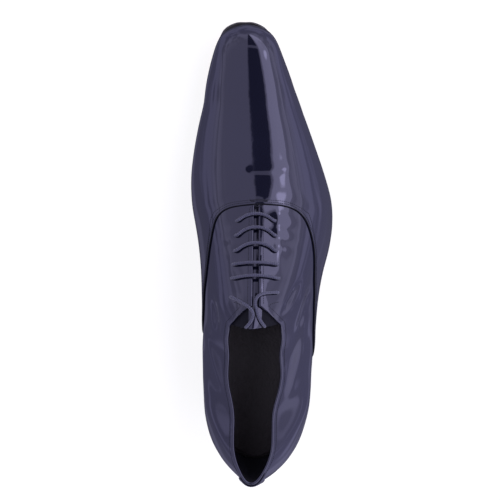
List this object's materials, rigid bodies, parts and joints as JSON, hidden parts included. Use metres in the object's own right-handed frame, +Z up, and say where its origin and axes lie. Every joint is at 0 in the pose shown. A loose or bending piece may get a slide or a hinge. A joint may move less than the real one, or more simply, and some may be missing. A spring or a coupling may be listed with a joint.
{
  "type": "oxford shoe",
  "caption": "Right plain-toe closed-lacing oxford in black patent leather with a leather sole, stacked heel and straight-laced round cord, open collar.",
  "frame": {"origin": "on the floor, at the middle of the shoe's length and width", "axes": "+Y to the toe, +X to the outer side of the right foot, +Z up; the floor is z = 0"},
  "size_m": [0.1008, 0.3174, 0.1057],
  "materials": {
    "patent_leather": "deep black patent leather with a faint blue tint, mirror gloss, stitched seams",
    "sole_leather": "polished tan forepart, burnished red-brown waist, black edge",
    "heel_leather": "stacked leather lifts with a black burnished edge",
    "heel_rubber": "matt dark blue-grey rubber, fine cross ribs at the back",
    "sock_leather": "matt black grained leather sock",
    "lace_cord": "thin round waxed black cotton cord"
  },
  "bodies": {
    "root": {"outsole": "sole_leather", "heel_stack": "heel_leather", "heel_top_piece": "heel_rubber", "insole": "sock_leather", "upper": "patent_leather", "heel_tab": "patent_leather", "tongue": "patent_leather", "lace_end_left": "lace_cord", "lace_end_right": "lace_cord", "lace_bar_1": "lace_cord", "lace_bar_2": "lace_cord", "lace_bar_3": "lace_cord", "lace_bar_4": "lace_cord", "lace_bar_5": "lace_cord"}
  },
  "joints": []
}
